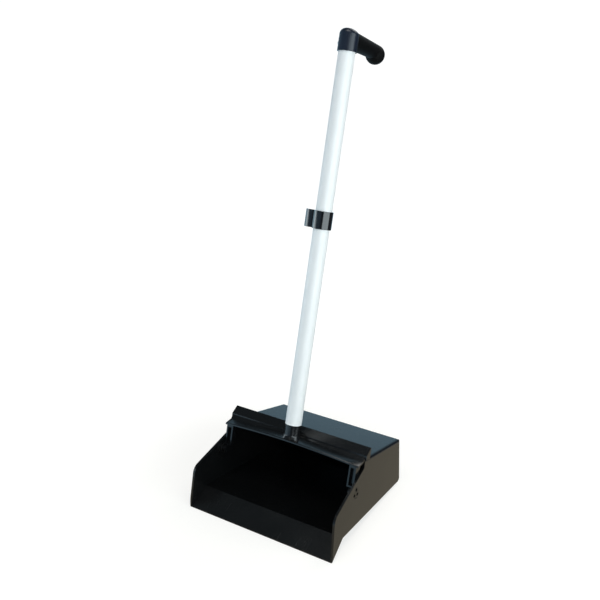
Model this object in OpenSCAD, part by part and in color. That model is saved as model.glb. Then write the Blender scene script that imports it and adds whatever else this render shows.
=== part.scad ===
// Lobby dustpan: a covered pan that hangs from a yoke on a long upright handle.
// Millimetres, +Z up, +Y from the lip to the rear, +X to the right seen from the front.
// The origin is the middle of the flat land under the lip, on the floor.

/* [Pan] */
// Width across the lip
lip_width = 265; // [250:1:280]
// Width across the rear wall at floor level
rear_width = 237; // [225:1:250]
// Depth from the lip to the rear wall
pan_depth = 246; // [235:1:260]
// Height of the top cover at its front edge
cover_height = 111; // [108:0.5:114]
// Height of the rear wall
rear_height = 77; // [70:0.5:80]
// Distance from the lip back to the cover's front edge
cover_setback = 112.5; // [112:0.5:118]
// Lean of the side walls towards each other, in degrees
wall_draft = 2; // [1:0.25:3]
// Thickness of the walls and the cover
wall_thickness = 3; // [2:0.1:3.2]
// Thickness of the floor and the ramp
floor_thickness = 2.4; // [2:0.1:3.4]
// Length of the front ramp, from the lip to its crest
ramp_length = 36; // [30:1:42]
// Height of the ramp's crest above the floor
ramp_height = 20.6; // [16:0.2:23]
// Flat land under the lip
lip_land = 4; // [3:0.5:6]
// Thickness of the lip's front edge
lip_thickness = 1.2; // [0.8:0.1:2]
// Flat land under the heel
heel_land = 5; // [4:0.5:10]
// Radius of the heel, where the floor turns up into the rear wall
heel_radius = 16; // [10:0.5:18]
// Setback of the side wall's front edge where it bends
bend_setback = 12; // [8:0.5:18]
// Height of that bend
bend_height = 67; // [60:0.5:72]
// Radius of that bend
bend_radius = 16; // [8:1:24]
// Setback of the side wall's front edge where it turns up to the cover
step_setback = 109.5; // [106:0.5:110.5]
// Height of that turn
step_height = 98; // [96:0.5:101]
// Radius of that turn
step_radius = 3; // [1.5:0.5:5]
// Thickness of the rim along the side wall's front edge
rim_thickness = 3.6; // [3.4:0.1:4.4]
// Depth of that rim
rim_depth = 8; // [5:0.5:12]
// Radius of the cover's side edges and of the rear corners
edge_radius = 5; // [3:0.5:6]
// Radius of the lower side edges
bottom_radius = 4.5; // [2:0.5:5]
// Radius of the lip's corners, seen from above
lip_radius = 3; // [1:0.25:3.25]
// Diameter of the two moulding pips on the ramp
pip_diameter = 3; // [2:0.5:5]
// Height of the pips above the ramp
pip_height = 0.6; // [0.3:0.1:1.2]
// Distance between the pips
pip_spacing = 134; // [100:1:180]
// Distance of the pips up the slope from the lip
pip_rise = 29; // [20:1:36]

/* [Pivot] */
// Setback of the pivot axis from the lip
pivot_setback = 80; // [79:0.5:81]
// Height of the pivot axis
pivot_height = 71; // [70:0.5:72]
// Diameter of the pivot pins' heads, which turn in the side walls
pin_diameter = 17; // [16.5:0.5:18]
// Diameter of the three pockets in a pin's head
pocket_diameter = 5.2; // [3:0.2:5.4]
// Distance of the pockets from the pin's axis
pocket_ring = 5.4; // [4.4:0.1:5.5]
// Depth of the pockets
pocket_depth = 4; // [2:0.25:4.25]
// Diameter of a pin's shank, which is pressed into an arm's eye
shank_diameter = 7; // [5:0.25:8]
// Diameter of the bearing boss inside each side wall
bearing_diameter = 23; // [21.5:0.5:26]

/* [Yoke] */
// Overhang of the yoke's hood past the cover's side edges
hood_overhang = 3.3; // [1:0.1:4]
// Overlap of the hood on the cover, behind the cover's front edge
hood_overlap = 8.9; // [6:0.1:11]
// Rise of the hood's rear edge above its foot on the cover
hood_rise = 18.3; // [16:0.1:20]
// Lead of the hood's front edge ahead of the cover's front edge
brow_lead = 3.1; // [2.8:0.1:4]
// Rise of the hood's front edge above the hood's foot
brow_rise = 6.3; // [5.6:0.1:8]
// Thickness of the yoke's moulded walls
yoke_wall = 2.5; // [2:0.1:2.6]
// Lead of the shelf's rear edge ahead of the hood's front edge, at its ends
shelf_lead = 5.5; // [3:0.25:7]
// Lead of the shelf's rear edge ahead of the hood's front edge, in the middle
shelf_nip = 1; // [0.5:0.25:2]
// Drop of the shelf's rear edge below the hood's foot, at its ends
shelf_drop = 1.9; // [1:0.1:3]
// Gap between the shelf's ends and the side walls' rims, with the handle folded forward
shelf_gap = 0.8; // [0.5:0.1:3]
// Drop of the lower front edge below the hood's foot, at its ends
apron_drop = 9.1; // [8:0.1:10.5]
// Reach of the lower front edge ahead of the pivot axis, at its ends
apron_reach = 1; // [0.5:0.25:3]
// Extra reach of the lower front edge in the middle
apron_bulge = 12; // [9:0.5:14]
// Rise of the lower front edge in the middle
apron_arch = 9; // [6:0.5:11]
// Depth of the rolled front edge
apron_roll = 3; // [2.8:0.1:4]
// Spread of the flare round the foot of the handle's boss
flare_reach = 3; // [1:0.25:3]
// Height of that flare
flare_height = 6; // [3:0.5:10]
// Gap between an arm and the side wall's rim, at the pivot
arm_gap = 1.8; // [1.7:0.1:4]
// Width of an arm, across the pan
arm_width = 12; // [9:0.25:14]
// Depth of an arm, behind its front face
arm_depth = 13; // [10:0.5:15]
// Width of the channel down an arm's front
channel_width = 7; // [3:0.25:8]
// Depth of that channel
channel_depth = 6; // [3:0.5:7]
// Width of the eye at an arm's lower end, across the pan
eye_width = 6.5; // [5:0.25:8]
// Radius of that eye
eye_radius = 6; // [5:0.25:7]
// Number of ribs under the hood
hood_ribs = 6; // [2:2:10]

/* [Handle] */
// Lean of the handle to the rear, in degrees
handle_lean = 15.5; // [15:0.25:16]
// Outside diameter of the tube
tube_diameter = 25.4; // [24:0.2:26]
// Wall of the tube
tube_wall = 1.2; // [0.8:0.1:2]
// Length of the tube
tube_length = 589; // [400:1:750]
// Rise of the tube's foot above the hood's foot
tube_rise = 24.8; // [22:0.2:28]
// Setback of the tube's axis behind the pivot axis
tube_setback = 3.5; // [3:0.25:4]
// Length of the yoke's spigot inside the tube
spigot_length = 42; // [30:1:60]

/* [Grip] */
// Outside diameter of the grip's cap
cap_diameter = 29.4; // [28.6:0.2:31]
// Depth of the tube in the cap
cap_depth = 23.5; // [18:0.5:30]
// Thickness of the cap above the tube
cap_roof = 9.5; // [6:0.5:12]
// Radius of the cap's top edge
cap_round = 7; // [4:0.5:9]
// Fall of the cap's top to the rear
cap_fall = 5; // [2:0.5:7]
// Width of the grip's oval bar
bar_width = 23; // [20:0.5:23]
// Height of the bar at the cap
bar_root = 27.6; // [25:0.2:29]
// Height of the bar at the knob
bar_height = 23.5; // [20:0.5:26]
// Height of the bar's axis above the cap's foot, at the cap
bar_rise = 18.5; // [17:0.25:19]
// Fall of that axis to the knob
bar_fall = 2.2; // [0:0.2:4]
// Reach of the knob's centre behind the tube's axis
knob_reach = 88; // [75:1:100]
// Diameter of the knob
knob_diameter = 30; // [27:0.5:34]
// Drop of the knob's centre below the bar's axis
knob_drop = 3.6; // [2:0.2:6]

/* [Broom clip] */
// Height of the clip's middle above the pivot axis
clip_height = 391; // [300:1:420]
// Length of the clip along the tube
clip_length = 27; // [20:0.5:36]
// Wall of the clip
clip_wall = 2.1; // [1.6:0.1:2.6]
// Diameter of the broom handle that the jaw holds
broom_diameter = 22; // [20:0.5:22.4]
// Turn of the jaw to the rear, from straight left, in degrees
clip_turn = 30; // [0:1:32]
// Angle of the jaw's mouth, in degrees
mouth_angle = 104; // [80:1:130]
// Width of the web between the ring and the jaw
web_width = 11; // [6:0.5:14]

/* [Screws] */
// Diameter of the two self-tapping screws
screw_diameter = 3.5; // [3:0.1:4]
// Length of a screw's shank
screw_length = 11; // [8:0.5:14]
// Diameter of a screw's head
head_diameter = 7; // [6:0.2:7.4]
// Height of a screw's head
head_height = 1.5; // [1.2:0.1:2.2]

/* [Clearances] */
// Running clearance round the pivot pins, on the radius
pin_clearance = 0.06; // [0.02:0.01:0.09]
// Clearance round pieces that are fitted together for good, on the radius
seat_clearance = 0.05; // [0.02:0.01:0.1]
// Sliding clearance of the clip on the tube, on the radius
slide_clearance = 0.06; // [0.03:0.01:0.09]
// Gap between faces that swing or rest against each other
rest_gap = 0.3; // [0.2:0.05:0.5]

/* [Hidden] */

$fn = 64;
arc_steps = 10;
loft_steps = 24;
hull_facets = 32;
sides = [1, -1];
overrun = 1;
tuck = yoke_wall / 10;
reach = 2 * (lip_width + pan_depth);
mouth_top = 2 * cover_height;

plastic_colour = "#26292b";
pin_colour = "#4a4740";
grip_colour = "#2c3034";
tube_colour = "#e9eef2";
screw_colour = "#b9bdc0";

// Places along the pan, from the middle of the lip's land
lip_y = -lip_land / 2;
crest_y = lip_y + ramp_length;
rear_y = lip_y + pan_depth;
cover_y = lip_y + cover_setback;
pivot_y = lip_y + pivot_setback;
heel_y = rear_y - heel_radius - heel_land;
ramp_slope = atan((ramp_height - lip_thickness) / ramp_length);
cover_slope = atan((cover_height - rear_height) / (rear_y - cover_y));

// The side walls: their taper in plan, and the angles at which they meet the cover and the rear wall
wall_taper = atan((lip_width - rear_width) / 2 / pan_depth);
wall_normal = [cos(wall_taper) * cos(wall_draft), sin(wall_taper) * cos(wall_draft), sin(wall_draft)];
cover_normal = [0, sin(cover_slope), cos(cover_slope)];
rear_normal = [0, 1, 0];
cover_tilt = asin(wall_normal * cover_normal);
rear_tilt = asin(wall_normal * rear_normal);
corner_lean = atan(wall_normal.z / wall_normal.x);

// Outside of the side wall, measured from the middle plane
function wall_x(y, z) =
    lip_width / 2 - ((y - lip_y) * wall_normal.y + z * wall_normal.z) / wall_normal.x;

cover_edge_x = wall_x(cover_y, cover_height);
rear_edge_x = wall_x(rear_y, rear_height);
cover_run = (rear_y - cover_y) / cos(cover_slope);
cover_taper = atan((cover_edge_x - rear_edge_x) / cover_run);
pivot_wall_x = wall_x(pivot_y, pivot_height);

// The yoke, in a frame on the pivot axis: Y square to the handle and rearwards, Z up the handle.
// The hood comes to rest on the cover, so the yoke takes its place from the cover's front edge.
cover_in_yoke = [(cover_y - pivot_y) * cos(handle_lean) - (cover_height - pivot_height) * sin(handle_lean),
                 (cover_y - pivot_y) * sin(handle_lean) + (cover_height - pivot_height) * cos(handle_lean)];
rest_height = cover_in_yoke.y + rest_gap + hood_overlap * abs(tan(handle_lean - cover_slope));
hood_setback = cover_in_yoke.x + hood_overlap;
hood_height = rest_height + hood_rise;
brow_setback = cover_in_yoke.x - brow_lead;
brow_height = rest_height + brow_rise;
shelf_height = rest_height - shelf_drop;
apron_height = rest_height - apron_drop;
hood_length = 2 * (cover_edge_x + hood_overhang);
shelf_end = min(hood_length / 2 - tuck,
                wall_x(pivot_y - apron_height, pivot_height) - rim_thickness - shelf_gap);
arm_outer = pivot_wall_x - rim_thickness - arm_gap;
arm_inner = arm_outer - arm_width;
eye_inner = arm_outer - eye_width;
pin_radius = pin_diameter / 2;
shank_radius = shank_diameter / 2;
tube_radius = tube_diameter / 2;
tube_bore = tube_radius - tube_wall;
tube_foot = rest_height + tube_rise;
tube_top = tube_foot + tube_length;
boss_radius = tube_radius - tube_wall / 2;
boss_foot = apron_height + apron_arch + tuck;

// The clip: its ring round the tube and its jaw beside it
ring_bore = tube_radius + slide_clearance;
ring_radius = ring_bore + clip_wall;
jaw_bore = broom_diameter / 2;
jaw_radius = jaw_bore + clip_wall;
jaw_offset = ring_radius + jaw_radius - clip_wall / 2;
tip_radius = clip_wall * 4 / 5;
tip_inset = clip_wall / 5;

// The grip
cap_radius = cap_diameter / 2;
cap_foot = tube_top - cap_depth;
cap_top = tube_top + cap_roof;
knob_radius = knob_diameter / 2;
grip_screw_height = cap_foot + cap_depth / 2;
tube_screw_height = tube_foot + spigot_length / 2;

function unit(v) = v / norm(v);

// Points of an arc that rounds the corner q between p and r
function corner_arc(p, q, r, radius) =
    radius == 0 ? [q] :
    let (to_p = unit(p - q), to_r = unit(r - q), half = acos(to_p * to_r) / 2)
    let (middle = q + unit(to_p + to_r) * radius / sin(half))
    let (start = q + to_p * radius / tan(half) - middle, end = q + to_r * radius / tan(half) - middle)
    let (first = atan2(start.y, start.x), turn = (atan2(end.y, end.x) - first + 540) % 360 - 180)
    [for (i = [0 : arc_steps]) let (a = first + turn * i / arc_steps) middle + radius * [cos(a), sin(a)]];

// An outline with a radius at each of its points
function rounded(points, radii) =
    let (n = len(points))
    [for (i = [0 : n - 1])
        each corner_arc(points[(i + n - 1) % n], points[i], points[(i + 1) % n], radii[i])];

// Sweeps a shape drawn in Y and Z along X, either side of the middle plane
module across(length) {
    rotate([90, 0, 90])
        linear_extrude(length, center = true)
            children();
}

// A round bar along X, from one place to another
module round_across(radius, from_x, to_x) {
    translate([min(from_x, to_x), 0, 0])
        rotate([0, 90, 0])
            cylinder(r = radius, h = abs(to_x - from_x));
}

// Puts its children in the yoke's frame
module on_pivot() {
    translate([0, pivot_y, pivot_height])
        rotate([-handle_lean, 0, 0])
            children();
}

// Puts its children on the tube's axis, a height up the handle
module on_tube(height) {
    on_pivot()
        translate([0, tube_setback, height])
            children();
}

// The pan's outline from the side
module pan_outline() {
    polygon(rounded(
        [[lip_y, 0], [lip_y + lip_land, 0], [crest_y, ramp_height - floor_thickness], [heel_y, 0],
         [rear_y, 0], [rear_y, rear_height], [cover_y, cover_height],
         [lip_y + step_setback, step_height], [lip_y + bend_setback, bend_height]],
        [0, 0, 0, 0, heel_radius, edge_radius, 0, step_radius, bend_radius]));
}

// The hollow's outline from the side, open at the mouth and above it
module hollow_outline() {
    cover_drop = wall_thickness / cos(cover_slope);
    inner_rear = rear_y - wall_thickness;
    polygon(rounded(
        [[lip_y - overrun, lip_thickness - overrun * tan(ramp_slope)], [crest_y, ramp_height],
         [inner_rear, floor_thickness],
         [inner_rear, rear_height - cover_drop + wall_thickness * tan(cover_slope)],
         [cover_y, cover_height - cover_drop], [cover_y, mouth_top], [lip_y - overrun, mouth_top]],
        [0, 0, heel_radius - wall_thickness, 0, 0, 0, 0]));
}

// The side of a corner between a level face and one that slopes away below it by a tilt
module corner_region(tilt, radius) {
    polygon(rounded(
        [[-reach, 0], [0, 0], reach * [sin(tilt), -cos(tilt)], [-reach, -reach]], [0, radius, 0, 0]));
}

// What lies inside the right wall and above a lower face that runs from one place to another
module above_face(from, to) {
    slope = atan2(to.y - from.y, to.x - from.x);
    edge_x = wall_x(from.x, from.y);
    taper = atan((edge_x - wall_x(to.x, to.y)) / norm(to - from));
    tilt = asin(wall_normal * [0, sin(slope), -cos(slope)]);
    translate([edge_x, from.x, from.y])
        rotate([slope, 0, 0])
            rotate([0, 0, taper])
                rotate([90, 0, 0])
                    linear_extrude(reach, center = true)
                        scale([1, -1])
                            corner_region(tilt, bottom_radius);
}

// What lies inside the right wall and above the ramp's and the floor's undersides
module above_underside() {
    crest = [crest_y, ramp_height - floor_thickness];
    intersection() {
        union() {
            above_face([lip_y + lip_land, 0], crest);
            translate([-reach, crest_y, -reach])
                cube(2 * reach);
        }
        union() {
            above_face(crest, [heel_y, 0]);
            translate([-reach, crest_y - 2 * reach, -reach])
                cube(2 * reach);
        }
    }
}

// What lies inside the right wall, with its rounded edges to the cover, the rear wall and the lip
module inside_right_wall() {
    intersection() {
        translate([cover_edge_x, cover_y, cover_height])
            rotate([-cover_slope, 0, 0])
                rotate([0, 0, cover_taper])
                    rotate([90, 0, 0])
                        linear_extrude(reach, center = true)
                            corner_region(cover_tilt, edge_radius);
        translate([wall_x(rear_y, 0), rear_y, 0])
            rotate([0, -corner_lean, 0])
                linear_extrude(reach, center = true)
                    corner_region(rear_tilt, edge_radius);
        translate([lip_width / 2, lip_y, 0])
            rotate([0, -corner_lean, 0])
                linear_extrude(reach, center = true)
                    scale([1, -1])
                        corner_region(-rear_tilt, lip_radius);
        above_underside();
    }
}

// What lies inside both side walls, once they are so thick
module between_walls(thickness) {
    intersection_for (side = sides) {
        scale([side, 1, 1])
            translate([lip_width / 2, lip_y, 0])
                rotate([0, 0, wall_taper])
                    rotate([0, -wall_draft, 0])
                        translate([-reach - thickness, -reach / 2, -reach / 2])
                            cube(reach);
    }
}

// The hollow inside the pan, narrower between the rims along the mouth
module pan_hollow() {
    intersection() {
        across(reach)
            hollow_outline();
        between_walls(rim_thickness);
    }
    intersection() {
        across(reach)
            intersection() {
                hollow_outline();
                translate([rim_depth, 0])
                    pan_outline();
            }
        between_walls(wall_thickness);
    }
}

module pan_shell() {
    difference() {
        intersection() {
            across(lip_width)
                pan_outline();
            inside_right_wall();
            mirror([1, 0, 0])
                inside_right_wall();
        }
        pan_hollow();
    }
}

module ramp_pip(x) {
    translate([x, lip_y, lip_thickness])
        rotate([ramp_slope, 0, 0])
            translate([0, pip_rise, -floor_thickness / 2])
                cylinder(d = pip_diameter, h = pip_height + floor_thickness / 2);
}

module pan_body() {
    color(plastic_colour)
        difference() {
            union() {
                pan_shell();
                for (side = sides) {
                    translate([0, pivot_y, pivot_height])
                        round_across(bearing_diameter / 2, side * (arm_outer + rest_gap),
                                     side * (pivot_wall_x - wall_thickness / 2));
                    ramp_pip(side * pip_spacing / 2);
                }
            }
            translate([0, pivot_y, pivot_height])
                for (side = sides)
                    round_across(pin_radius + pin_clearance, side * arm_outer,
                                 side * (pivot_wall_x + wall_thickness));
        }
}

// The hood's section: a roof that falls to the front between two walls
module hood_section() {
    polygon(rounded(
        [[hood_setback, rest_height], [hood_setback, hood_height], [brow_setback, brow_height],
         [brow_setback, rest_height]],
        [0, yoke_wall / 4, yoke_wall / 2, 0]));
}

module hood_hollow_section() {
    roof_slope = atan((hood_height - brow_height) / (hood_setback - brow_setback));
    drop = yoke_wall / cos(roof_slope);
    polygon(
        [[hood_setback - yoke_wall, rest_height - overrun],
         [hood_setback - yoke_wall, hood_height - drop - yoke_wall * tan(roof_slope)],
         [brow_setback + yoke_wall, brow_height - drop + yoke_wall * tan(roof_slope)],
         [brow_setback + yoke_wall, rest_height - overrun]]);
}

module hood() {
    bay = (hood_length - 2 * yoke_wall) / (hood_ribs + 1);
    difference() {
        across(hood_length)
            hood_section();
        for (i = [0 : hood_ribs])
            translate([(i - hood_ribs / 2) * bay, 0, 0])
                across(bay - yoke_wall)
                    hood_hollow_section();
    }
}

// The fall from the hood, the shelf and its rolled front edge, at a share of the way to an end
function apron_section(end_share) =
    let (bow_share = 1 - end_share * end_share)
    let (front = -apron_reach - apron_bulge * bow_share, foot = apron_height + apron_arch * bow_share)
    let (top = foot + apron_roll)
    let (back = brow_setback + yoke_wall / 2, crown = brow_height - tuck)
    let (bend = brow_setback - shelf_nip - (shelf_lead - shelf_nip) * end_share)
    let (valley = shelf_height + (brow_height - yoke_wall - shelf_height) * (1 - end_share))
    [[back, crown], [bend, valley], [front + apron_roll / 3, top], [front, top - apron_roll / 3],
     [front, foot], [front + yoke_wall, foot], [front + yoke_wall, top - yoke_wall],
     [bend + yoke_wall / 2, valley - yoke_wall], [back, crown - 2 * yoke_wall]];

module apron() {
    rings = [for (i = [-loft_steps : loft_steps])
        let (end_share = abs(i) / loft_steps)
        [for (p = apron_section(end_share)) [shelf_end * i / loft_steps, p.x, p.y]]];
    n = len(rings[0]);
    last = len(rings) - 1;
    around = [0 : n - 1];
    end_face = [[0, 1, 7], [0, 7, 8], [1, 2, 6], [1, 6, 7], [2, 3, 6], [3, 5, 6], [3, 4, 5]];
    polyhedron(
        points = [for (ring = rings) each ring],
        faces = concat(
            end_face,
            [for (j = [0 : last - 1], k = around)
                each [[j * n + k, (j + 1) * n + k, j * n + (k + 1) % n],
                      [j * n + (k + 1) % n, (j + 1) * n + k, (j + 1) * n + (k + 1) % n]]],
            [for (t = end_face) [for (k = [2 : -1 : 0]) last * n + t[k]]]));
}

// The web that ties the boss to the hood behind it
module boss_web() {
    foot = max(boss_foot, rest_height) + tuck;
    across(2 * yoke_wall)
        polygon([[tube_setback, foot], [tube_setback, hood_height - tuck],
                 [hood_setback - yoke_wall, hood_height - 2 * yoke_wall], [hood_setback - yoke_wall, foot]]);
}

// An arm: a bar with a channel down its front, and below it an eye round the pivot, beside the wall
module arm(side) {
    front = tuck - apron_reach;
    back = front + arm_depth;
    translate([side * (arm_inner + arm_width / 2), 0, 0])
        difference() {
            across(arm_width)
                polygon([[front, eye_radius], [front, apron_height + apron_roll / 2],
                         [front + yoke_wall, apron_height + apron_roll - tuck],
                         [back, shelf_height - yoke_wall / 2], [eye_radius + yoke_wall, eye_radius]]);
            translate([-channel_width / 2, front - overrun, eye_radius + yoke_wall])
                cube([channel_width, channel_depth + overrun, apron_height - eye_radius - 2 * yoke_wall]);
        }
    translate([side * (eye_inner + eye_width / 2), 0, 0])
        across(eye_width)
            union() {
                circle(eye_radius);
                polygon([[front, 0], [front, eye_radius + tuck], [eye_radius - tuck, eye_radius + tuck],
                         [eye_radius - tuck, 0]]);
            }
}

module yoke() {
    color(plastic_colour)
        on_pivot()
            difference() {
                union() {
                    hood();
                    apron();
                    for (side = sides)
                        arm(side);
                    boss_web();
                    translate([0, tube_setback, boss_foot])
                        cylinder(r = boss_radius, h = tube_foot - boss_foot);
                    translate([0, tube_setback, boss_foot + apron_roll - 2 * tuck])
                        cylinder(r1 = boss_radius + flare_reach, r2 = boss_radius, h = flare_height);
                    translate([0, tube_setback, tube_foot - overrun])
                        cylinder(r = tube_bore - seat_clearance, h = spigot_length + overrun);
                }
                for (side = sides)
                    round_across(shank_radius + seat_clearance, side * (eye_inner + yoke_wall),
                                 side * (arm_outer + overrun));
                translate([0, tube_setback, tube_screw_height])
                    rotate([-90, 0, 0])
                        cylinder(d = screw_diameter + 2 * seat_clearance, h = tube_radius);
            }
}

// A pivot pin: a head cored by three pockets, and a shank pressed into the arm's eye
module pivot_pin(side) {
    head_start = arm_outer + rest_gap;
    pocket_turns = [95, 215, 335];
    color(pin_colour)
        on_pivot()
            difference() {
                union() {
                    round_across(pin_radius, side * head_start, side * pivot_wall_x);
                    round_across(shank_radius, side * (eye_inner + yoke_wall + rest_gap),
                                 side * (head_start + tuck));
                }
                for (turn = pocket_turns)
                    rotate([turn, 0, 0])
                        translate([0, pocket_ring, 0])
                            round_across(pocket_diameter / 2, side * (pivot_wall_x - pocket_depth),
                                         side * (pivot_wall_x + overrun));
            }
}

module pivot_pin_left() {
    pivot_pin(-1);
}

module pivot_pin_right() {
    pivot_pin(1);
}

module handle_tube() {
    color(tube_colour)
        on_tube(tube_foot)
            difference() {
                cylinder(r = tube_radius, h = tube_length);
                translate([0, 0, -overrun])
                    cylinder(r = tube_bore, h = tube_length + 2 * overrun);
                translate([0, 0, tube_screw_height - tube_foot])
                    rotate([-90, 0, 0])
                        cylinder(d = screw_diameter + 2 * seat_clearance, h = tube_diameter);
                translate([0, 0, grip_screw_height - tube_foot])
                    rotate([0, -90, 0])
                        cylinder(d = screw_diameter + 2 * seat_clearance, h = tube_diameter);
            }
}

// A pan-headed screw that points down, with the underside of its head at the origin
module screw() {
    recess = head_diameter / 6;
    difference() {
        union() {
            rotate_extrude()
                polygon(rounded(
                    [[0, 0], [head_diameter / 2, 0], [head_diameter / 2, head_height], [0, head_height]],
                    [0, 0, head_height * 2 / 3, 0]));
            translate([0, 0, -screw_length])
                cylinder(d = screw_diameter, h = screw_length + head_height / 2);
        }
        for (turn = [0, 90])
            rotate([0, 0, turn])
                translate([0, 0, head_height])
                    cube([head_diameter * 2 / 3, recess, head_height], center = true);
    }
}

module tube_screw() {
    color(screw_colour)
        on_tube(tube_screw_height)
            translate([0, tube_radius, 0])
                rotate([-90, 0, 0])
                    screw();
}

module grip_screw() {
    color(screw_colour)
        on_tube(grip_screw_height)
            translate([-cap_radius, 0, 0])
                rotate([0, -90, 0])
                    screw();
}

// A slice of the grip's oval bar, square to the bar
module bar_slice(place, axis_height, height) {
    translate([0, place, axis_height])
        scale([bar_width / 2, 1, height / 2])
            rotate([-90, 0, 0])
                cylinder(r = 1, h = tuck, $fn = hull_facets);
}

// The cap's top: a round-edged disc that falls to the rear, down to a straight skirt
module cap_dome() {
    edge_radius = cap_radius - cap_round;
    hull() {
        translate([0, 0, cap_foot + bar_rise / 2])
            cylinder(r = cap_radius - tuck, h = tuck, $fn = hull_facets);
        translate([0, 0, cap_top - cap_round - cap_fall / 2])
            rotate([-atan(cap_fall / edge_radius / 2), 0, 0])
                rotate_extrude($fn = hull_facets)
                    translate([edge_radius, 0])
                        circle(cap_round, $fn = hull_facets);
    }
}

module grip() {
    axis_height = cap_foot + bar_rise;
    knob_height = axis_height - bar_fall - knob_drop;
    color(grip_colour)
        on_tube(0)
            difference() {
                union() {
                    translate([0, 0, cap_foot])
                        cylinder(r = cap_radius, h = bar_rise);
                    cap_dome();
                    hull() {
                        bar_slice(0, axis_height, bar_root);
                        bar_slice(knob_reach, axis_height - bar_fall, bar_height);
                    }
                    translate([0, knob_reach, knob_height])
                        sphere(knob_radius);
                }
                translate([0, 0, cap_foot - overrun])
                    cylinder(r = tube_radius + seat_clearance, h = cap_depth + overrun);
                translate([0, 0, grip_screw_height])
                    rotate([0, -90, 0])
                        cylinder(d = screw_diameter + 2 * seat_clearance, h = cap_diameter);
            }
}

// The broom clip: a closed ring on the tube and a jaw that opens away from it
module broom_clip() {
    tip_places = [for (side = sides) side * mouth_angle / 2];
    color(plastic_colour)
        on_tube(clip_height - clip_length / 2)
            rotate([0, 0, 180 - clip_turn])
                difference() {
                    union() {
                        cylinder(r = ring_radius, h = clip_length);
                        translate([ring_radius / 2, -web_width / 2, 0])
                            cube([jaw_offset - ring_radius / 2, web_width, clip_length]);
                        translate([jaw_offset, 0, 0]) {
                            difference() {
                                cylinder(r = jaw_radius, h = clip_length);
                                translate([0, 0, -overrun])
                                    linear_extrude(clip_length + 2 * overrun)
                                        polygon([[0, 0], for (a = tip_places) reach * [cos(a), -sin(a)]]);
                            }
                            for (a = tip_places)
                                rotate([0, 0, a])
                                    translate([jaw_bore + clip_wall / 2, 0, tip_inset])
                                        cylinder(r = tip_radius, h = clip_length - 2 * tip_inset);
                        }
                    }
                    translate([0, 0, -overrun])
                        cylinder(r = ring_bore, h = clip_length + 2 * overrun);
                    translate([jaw_offset, 0, -overrun])
                        cylinder(r = jaw_bore, h = clip_length + 2 * overrun);
                }
}

pan_body();
yoke();
pivot_pin_left();
pivot_pin_right();
handle_tube();
tube_screw();
grip();
grip_screw();
broom_clip();
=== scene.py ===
import math

import bmesh
import bpy
from mathutils import Matrix, Vector


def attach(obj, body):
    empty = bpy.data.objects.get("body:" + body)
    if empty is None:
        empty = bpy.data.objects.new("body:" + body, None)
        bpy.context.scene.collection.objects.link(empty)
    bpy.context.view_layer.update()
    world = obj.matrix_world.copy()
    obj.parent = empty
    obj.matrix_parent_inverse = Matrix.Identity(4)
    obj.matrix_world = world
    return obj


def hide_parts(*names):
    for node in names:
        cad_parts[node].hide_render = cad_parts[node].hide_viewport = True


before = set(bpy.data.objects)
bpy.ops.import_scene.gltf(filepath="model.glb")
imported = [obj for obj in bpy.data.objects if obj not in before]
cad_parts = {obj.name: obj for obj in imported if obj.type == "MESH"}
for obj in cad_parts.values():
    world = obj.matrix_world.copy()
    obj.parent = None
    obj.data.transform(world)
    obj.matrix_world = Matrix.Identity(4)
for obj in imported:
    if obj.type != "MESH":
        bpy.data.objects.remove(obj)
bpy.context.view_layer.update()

# Camera: stands in front of the pan and to its right, a little above the top of the handle,
# at the place that the corners of the pan and the length of the tube give in the picture.
camera_place = Vector((0.63697, -0.86772, 0.80171))
camera_yaw = math.radians(32.77)
camera_dip = math.radians(21.44)
camera_roll = math.radians(-0.324)
camera_data = bpy.data.cameras.new("camera")
camera_data.sensor_width = 36.0
camera_data.lens = 51.016
camera_data.clip_start = 0.05
camera_data.clip_end = 200.0
ahead = Vector((-math.sin(camera_yaw) * math.cos(camera_dip),
                math.cos(camera_yaw) * math.cos(camera_dip), -math.sin(camera_dip)))
level = Vector((math.cos(camera_yaw), math.sin(camera_yaw), 0.0))
upright = level.cross(ahead)
across = math.cos(camera_roll) * level + math.sin(camera_roll) * upright
upward = math.cos(camera_roll) * upright - math.sin(camera_roll) * level
camera_turn = Matrix((across, upward, -ahead)).transposed().to_4x4()
camera = bpy.data.objects.new("camera", camera_data)
camera.matrix_world = Matrix.Translation(camera_place) @ camera_turn
bpy.context.scene.collection.objects.link(camera)
bpy.context.scene.camera = camera

# Pan: one injection moulding in black polypropylene, with a ramp behind the lip, a floor that falls
# to the heel, leaning side walls and a sloping cover. The lip and the ramp are scuffed by grit, and
# the mould's grain and flow show as a faint unevenness in the gloss.
pan_edge = 0.0006
scuffs_start = 0.05
scuffs_full = 0.002


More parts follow.
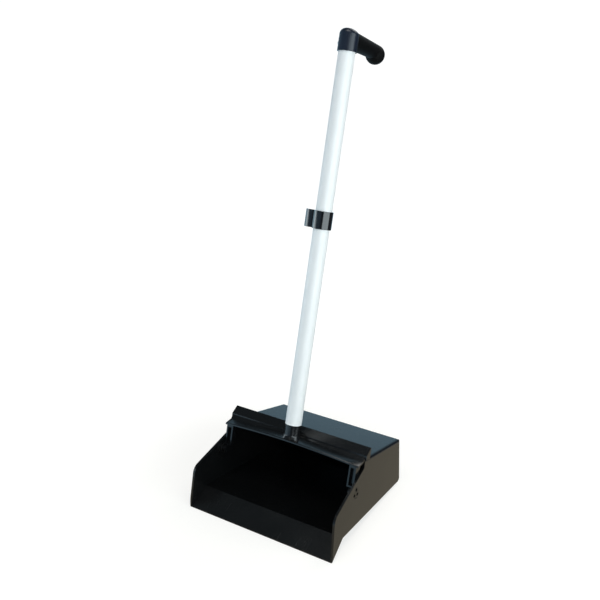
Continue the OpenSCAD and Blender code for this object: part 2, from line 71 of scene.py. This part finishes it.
class Shade:
    """A socket of a node tree that takes part in expressions."""

    def __init__(self, tree, output=None):
        self.tree = tree
        self.output = output

    def node(self, kind, settings, inputs, output=0):
        made = self.tree.nodes.new(kind)
        for key, value in settings.items():
            setattr(made, key, value)
        for key, value in inputs.items():
            if isinstance(value, Shade):
                self.tree.links.new(value.output, made.inputs[key])
            else:
                made.inputs[key].default_value = value
        return Shade(self.tree, made.outputs[output])

    def maths(self, operation, first, second):
        return self.node("ShaderNodeMath", {"operation": operation}, {0: first, 1: second})

    def __add__(self, other):
        return self.maths("ADD", self, other)

    def __radd__(self, other):
        return self.maths("ADD", other, self)

    def __sub__(self, other):
        return self.maths("SUBTRACT", self, other)

    def __rsub__(self, other):
        return self.maths("SUBTRACT", other, self)

    def __mul__(self, other):
        return self.maths("MULTIPLY", self, other)

    def __rmul__(self, other):
        return self.maths("MULTIPLY", other, self)

    def step(self, low, high):
        """Nought below the low value and one above the high one, with a soft change between."""
        return self.node("ShaderNodeMapRange", {"interpolation_type": "SMOOTHSTEP"},
                         {"Value": self, "From Min": low, "From Max": high})

    def blend(self, first, second):
        """A colour between two, by this share."""
        return self.node("ShaderNodeMix", {"data_type": "RGBA"}, {0: self, 6: first, 7: second}, 2)


def noise(place, scale, detail=2.0):
    """Cloudy noise between nought and one, with its mean at a half."""
    return place.node("ShaderNodeTexNoise", {}, {"Vector": place, "Scale": scale, "Detail": detail})


def finish(name):
    """A new material: its tree, its shader and the place on the piece."""
    material = bpy.data.materials.new(name)
    material.use_nodes = True
    shader = material.node_tree.nodes["Principled BSDF"]
    tree = Shade(material.node_tree)
    place = tree.node("ShaderNodeTexCoord", {}, {}, "Object")
    return material, shader, tree, place


def join(tree, shader, links):
    """Leads expressions into the inputs of a shader."""
    for key, value in links.items():
        tree.tree.links.new(value.output, shader.inputs[key])


def moulded(name, colour, worn, roughness, specular, grain, scuffs):
    """Moulded plastic: mould grain, uneven gloss, and fine scuffs where the mask lies."""
    cloud_scale = 22.0
    streak_scale = (260.0, 22.0, 60.0)
    streak_turn = (0.0, 0.0, 0.35)
    grain_depth = 0.00002
    material, shader, tree, place = finish(name)
    shader.inputs["Specular IOR Level"].default_value = specular
    cloud = noise(place, cloud_scale, detail=4.0)
    speck = noise(place, grain)
    streak_place = tree.node("ShaderNodeMapping", {}, {"Vector": place, "Scale": streak_scale,
                                                       "Rotation": streak_turn})
    streak = noise(streak_place, 1.0, detail=5.0)
    scratch = streak.step(0.60, 0.72) * scuffs(place)
    wear = cloud * 0.35 + scratch * 0.15
    relief = speck * 0.7 + cloud * 0.3 - scratch * 0.1
    uneven = (cloud - 0.5) * 0.16 + (speck - 0.5) * 0.08 + scratch * 0.06
    bump = tree.node("ShaderNodeBump", {}, {"Strength": 0.3, "Distance": grain_depth,
                                            "Height": relief})
    join(tree, shader, {"Base Color": wear.blend(colour, worn), "Roughness": roughness + uneven,
                        "Normal": bump})
    return material


def soften(piece, width):
    """Rounds a piece's hard edges, and shades the flat faces flat between them."""
    rim = piece.modifiers.new("rim", "BEVEL")
    rim.width = width
    rim.segments = 2
    rim.limit_method = "ANGLE"
    rim.angle_limit = math.radians(32)
    rim.use_clamp_overlap = True
    gloss = piece.modifiers.new("gloss", "WEIGHTED_NORMAL")
    gloss.mode = "FACE_AREA"
    gloss.weight = 100


def dress(node, name, body, material, width, merge=None):
    """A piece in the shape of its node, with its hard edges rounded as a mould or tool leaves them.

    Faces that meet below the merge angle become one, so that the rounding runs on evenly. Without
    that angle only slivers go.
    """
    weld = 0.000002
    sliver = 0.00001
    shape = bmesh.new()
    shape.from_mesh(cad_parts[node].data)
    bmesh.ops.remove_doubles(shape, verts=shape.verts, dist=weld)
    if merge:
        bmesh.ops.dissolve_limit(shape, angle_limit=merge, verts=shape.verts, edges=shape.edges)
    else:
        bmesh.ops.dissolve_degenerate(shape, dist=sliver, edges=shape.edges)
    for face in shape.faces:
        face.smooth = True
        face.material_index = 0
    mesh = bpy.data.meshes.new(name)
    shape.to_mesh(mesh)
    shape.free()
    mesh.materials.append(material)
    piece = bpy.data.objects.new(name, mesh)
    bpy.context.scene.collection.objects.link(piece)
    soften(piece, width)
    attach(piece, body)
    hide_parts(node)


def lip_scuffs(place):
    behind_lip = place.node("ShaderNodeSeparateXYZ", {}, {"Vector": place}, "Y")
    return 1.0 - behind_lip.step(scuffs_full, scuffs_start)


pan_plastic = moulded("pan_plastic", colour=(0.003, 0.0033, 0.0036, 1.0),
                      worn=(0.010, 0.0105, 0.0105, 1.0), roughness=0.23, specular=0.5,
                      grain=900.0, scuffs=lip_scuffs)
dress("pan_body", "pan", "pan", pan_plastic, pan_edge)

# Yoke: the second black moulding, a hood that rests on the cover, an arched shelf, a boss for the
# tube and two arms. It is polished in the mould, so it is glossier than the pan.
yoke_edge = 0.0006
flat_angle = math.radians(0.3)


def hand_scuffs(place):
    return noise(place, 9.0).step(0.55, 0.8)


yoke_plastic = moulded("yoke_plastic", colour=(0.003, 0.0034, 0.004, 1.0),
                       worn=(0.010, 0.0105, 0.011, 1.0), roughness=0.2, specular=0.5,
                       grain=700.0, scuffs=hand_scuffs)
dress("yoke", "yoke_moulding", "handle", yoke_plastic, yoke_edge, flat_angle)

# Pivot pins: two small mouldings in the same black, pressed into the eyes of the arms, on which the
# pan swings. Their heads lie flush in the side walls and are cored by three pockets.
pin_edge = 0.0003
pin_plastic = moulded("pin_plastic", colour=(0.004, 0.004, 0.004, 1.0),
                      worn=(0.012, 0.012, 0.011, 1.0), roughness=0.32, specular=0.5,
                      grain=1200.0, scuffs=hand_scuffs)
for side in ("left", "right"):
    dress("pivot_pin_" + side, "pin_" + side, "handle", pin_plastic, pin_edge)

# Handle tube: a drawn aluminium tube, anodised to a pale satin finish, pushed on the yoke's spigot.
# Fine draw marks run along it, and the cut ends are lightly deburred.
tube_edge = 0.0003
tube_lean = math.radians(15.5)
facet_angle = math.radians(0.05)


def drawn(name, colour, dull, roughness):
    """Drawn and anodised metal, with marks along its length."""
    mark_scale = (420.0, 420.0, 3.0)
    cloud_scale = 14.0
    mark_depth = 0.00002
    material, shader, tree, place = finish(name)
    shader.inputs["Metallic"].default_value = 0.2
    turned = tree.node("ShaderNodeMapping", {}, {"Vector": place, "Scale": mark_scale,
                                                 "Rotation": (tube_lean, 0.0, 0.0)})
    marks = noise(turned, 1.0, detail=3.0)
    cloud = noise(place, cloud_scale, detail=3.0)
    uneven = (cloud - 0.5) * 0.12 + (marks - 0.5) * 0.1
    bump = tree.node("ShaderNodeBump", {}, {"Strength": 0.12, "Distance": mark_depth,
                                            "Height": marks})
    join(tree, shader, {"Base Color": (marks * 0.6 + cloud * 0.4).blend(colour, dull),
                        "Roughness": roughness + uneven, "Normal": bump})
    return material


tube_metal = drawn("tube_metal", colour=(0.90, 0.895, 0.89, 1.0), dull=(0.84, 0.835, 0.83, 1.0),
                   roughness=0.62)
dress("handle_tube", "tube", "handle", tube_metal, tube_edge, facet_angle)

# Screws: two self-tapping screws with pan heads and cross recesses, zinc plated, that hold the tube
# on the yoke's spigot and the grip on the tube.
screw_edge = 0.00015


def plated(name, colour, dull):
    """Zinc plating with a faint patchiness."""
    patch_scale = 900.0
    patch_depth = 0.00003
    material, shader, tree, place = finish(name)
    shader.inputs["Metallic"].default_value = 1.0
    patch = noise(place, patch_scale, detail=3.0)
    bump = tree.node("ShaderNodeBump", {}, {"Strength": 0.15, "Distance": patch_depth,
                                            "Height": patch})
    join(tree, shader, {"Base Color": patch.blend(colour, dull), "Roughness": 0.24 + patch * 0.2,
                        "Normal": bump})
    return material


screw_zinc = plated("screw_zinc", colour=(0.62, 0.63, 0.64, 1.0), dull=(0.42, 0.42, 0.41, 1.0))
for node, name in (("tube_screw", "screw_at_tube"), ("grip_screw", "screw_at_grip")):
    dress(node, name, "handle", screw_zinc, screw_edge, flat_angle)

# Grip: one moulding pushed over the top of the tube, a cap that runs out to the rear in an oval bar
# and ends in a knob. The cap is polished and a blue black, the bar and the knob have a matt grain.
grip_edge = 0.0006
cap_radius = 0.0148
cap_black = (0.003, 0.008, 0.02, 1.0)
tube_corners = [Vector(corner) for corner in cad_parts["handle_tube"].bound_box]
tube_middle = sum(tube_corners, Vector()) / len(tube_corners)
bar_way = Vector((0.0, math.cos(tube_lean), -math.sin(tube_lean)))


def palm_wear(place):
    return noise(place, 30.0).step(0.45, 0.75)


grip_plastic = moulded("grip_plastic", colour=(0.003, 0.003, 0.0031, 1.0),
                       worn=(0.007, 0.007, 0.007, 1.0), roughness=0.6, specular=0.08,
                       grain=1100.0, scuffs=palm_wear)
tree = Shade(grip_plastic.node_tree)
shader = grip_plastic.node_tree.nodes["Principled BSDF"]
shader.inputs["Coat Roughness"].default_value = 0.3
spot = tree.node("ShaderNodeTexCoord", {}, {}, "Object")
along = tree.node("ShaderNodeVectorMath", {"operation": "DOT_PRODUCT"}, {0: spot, 1: bar_way},
                  "Value")
past_tube = along - tube_middle.dot(bar_way)
polish = 1.0 - past_tube.step(-0.1 * cap_radius, 0.5 * cap_radius)
bar_colour = Shade(tree.tree, shader.inputs["Base Color"].links[0].from_socket)
join(tree, shader, {"Base Color": polish.blend(bar_colour, cap_black), "Coat Weight": polish})
dress("grip", "grip_moulding", "handle", grip_plastic, grip_edge, flat_angle)

# Broom clip: a springy black moulding, a closed ring that slides on the tube and an open jaw that
# snaps round the handle of the broom. It is the glossiest of the black pieces.
clip_edge = 0.0004
clip_plastic = moulded("clip_plastic", colour=(0.003, 0.0036, 0.0042, 1.0),
                       worn=(0.010, 0.011, 0.012, 1.0), roughness=0.13, specular=0.8,
                       grain=900.0, scuffs=hand_scuffs)
dress("broom_clip", "clip", "clip", clip_plastic, clip_edge, flat_angle)

# Floor: a wide plain sheet that the pan stands on. It is white to the eye and keeps a soft shadow
# round the pan. In reflections it glows with a painted reflection: a warm grey painted shade near
# the pan, and farther off a painted pale blue at the left and a painted dark at the right.
floor_half = 90.0
floor_pale = (0.9, 0.85, 0.77, 1.0)
# Painted reflection colours, which the floor glows with only for reflected rays: a warm grey painted
# shade near the pan, a pale blue far off at the left and a dark far off at the right.
painted_shade_near = (0.34, 0.305, 0.235, 1.0)
painted_reflection_left = (0.41, 0.63, 0.78, 1.0)
painted_reflection_right = (0.05, 0.055, 0.07, 1.0)
pure_white = (1.0, 1.0, 1.0, 1.0)
pan_middle = (0.0, 0.12, 0.0)
glow_strength = 1.36
glow_near = 0.5
glow_gain = 0.25
floor_shape = bmesh.new()
bmesh.ops.create_grid(floor_shape, x_segments=1, y_segments=1, size=floor_half)
floor_mesh = bpy.data.meshes.new("floor")
floor_shape.to_mesh(floor_mesh)
floor_shape.free()
floor = bpy.data.objects.new("floor", floor_mesh)
bpy.context.scene.collection.objects.link(floor)
floor_paint = bpy.data.materials.new("floor_paint")
floor_paint.use_nodes = True
tree = Shade(floor_paint.node_tree)
seen = tree.node("ShaderNodeLightPath", {}, {}, "Is Camera Ray")
mirrored = tree.node("ShaderNodeLightPath", {}, {}, "Is Glossy Ray")
through = tree.node("ShaderNodeLightPath", {}, {}, "Is Transmission Ray")
spot = tree.node("ShaderNodeTexCoord", {}, {}, "Object")
distance = tree.node("ShaderNodeVectorMath", {"operation": "DISTANCE"}, {0: spot, 1: pan_middle},
                     "Value")
sideways = tree.node("ShaderNodeSeparateXYZ", {}, {"Vector": spot}, "X")
# Painted reflection: pale blue far off at the left, dark far off at the right, and a warm grey
# painted shade near the pan.
painted_reflection_far = sideways.step(-0.1, 0.35).blend(painted_reflection_left, painted_reflection_right)
painted_reflection = distance.step(0.26, 0.5).blend(painted_shade_near, painted_reflection_far)
paint = tree.node("ShaderNodeBsdfDiffuse", {}, {"Color": floor_pale})
# The floor's glow is white to the camera and the painted reflection to reflected and refracted rays.
glow = tree.node("ShaderNodeEmission", {}, {"Color": seen.blend(painted_reflection, pure_white),
                                            "Strength": glow_strength})
open_floor = distance.step(0.2, 0.6)
white = seen * (open_floor * glow_gain + glow_near) + mirrored + through
sheet = tree.node("ShaderNodeMixShader", {}, {0: white, 1: paint, 2: glow})
join(tree, floor_paint.node_tree.nodes["Material Output"], {"Surface": sheet})
floor_mesh.materials.append(floor_paint)

# Light: a dim, cool room, darkest at the right and overhead, that is white where the camera sees it.
# A large soft panel stands at the right and a small one at the left, and two hang above, one in
# front of the pan and one behind it.
front_wall = (0.18, 0.26, 0.36, 1.0)
rear_wall = (0.25, 0.40, 0.50, 1.0)
right_wall = (0.04, 0.05, 0.07, 1.0)
ceiling = (0.08, 0.10, 0.11, 1.0)
cool_light = (0.84, 0.96, 1.0)
warm_light = (1.0, 0.99, 0.97)
world = bpy.data.worlds.new("room")
bpy.context.scene.world = world
world.use_nodes = True
room = Shade(world.node_tree)
away = room.node("ShaderNodeTexCoord", {}, {}, "Generated")
rearward = room.node("ShaderNodeSeparateXYZ", {}, {"Vector": away}, "Y")
rightward = room.node("ShaderNodeSeparateXYZ", {}, {"Vector": away}, "X")
skyward = room.node("ShaderNodeSeparateXYZ", {}, {"Vector": away}, "Z")
walls = rearward.step(-0.3, 0.6).blend(front_wall, rear_wall)
sides = rightward.step(-0.15, 0.3).blend(walls, right_wall)
room_colour = skyward.step(0.25, 0.75).blend(sides, ceiling)
backdrop = room.node("ShaderNodeLightPath", {}, {}, "Is Camera Ray")
join(room, world.node_tree.nodes["Background"], {"Color": backdrop.blend(room_colour, pure_white)})


def panel(name, place, target, width, height, power, colour):
    """A soft rectangular lamp that faces a target."""
    lamp = bpy.data.lights.new(name, "AREA")
    lamp.shape = "RECTANGLE"
    lamp.size = width
    lamp.size_y = height
    lamp.energy = power
    lamp.color = colour
    stand = bpy.data.objects.new(name, lamp)
    stand.location = place
    stand.rotation_euler = (Vector(target) - Vector(place)).to_track_quat("-Z", "Y").to_euler()
    bpy.context.scene.collection.objects.link(stand)


panel("right_panel", place=(1.41, -0.39, 0.68), target=(0.0, 0.12, 0.68), width=2.2, height=1.06,
      power=26.0, colour=cool_light)
panel("left_panel", place=(-1.26, -0.49, 0.40), target=(0.0, 0.12, 0.40), width=1.5, height=0.4,
      power=6.0, colour=cool_light)
panel("front_panel", place=(0.15, -0.55, 2.1), target=(0.0, 0.12, 0.35), width=1.2, height=0.9,
      power=11.0, colour=warm_light)
panel("rear_panel", place=(0.25, 1.35, 1.7), target=(0.0, 0.12, 0.35), width=1.2, height=0.9,
      power=12.0, colour=warm_light)

bpy.context.scene.view_settings.view_transform = "Standard"
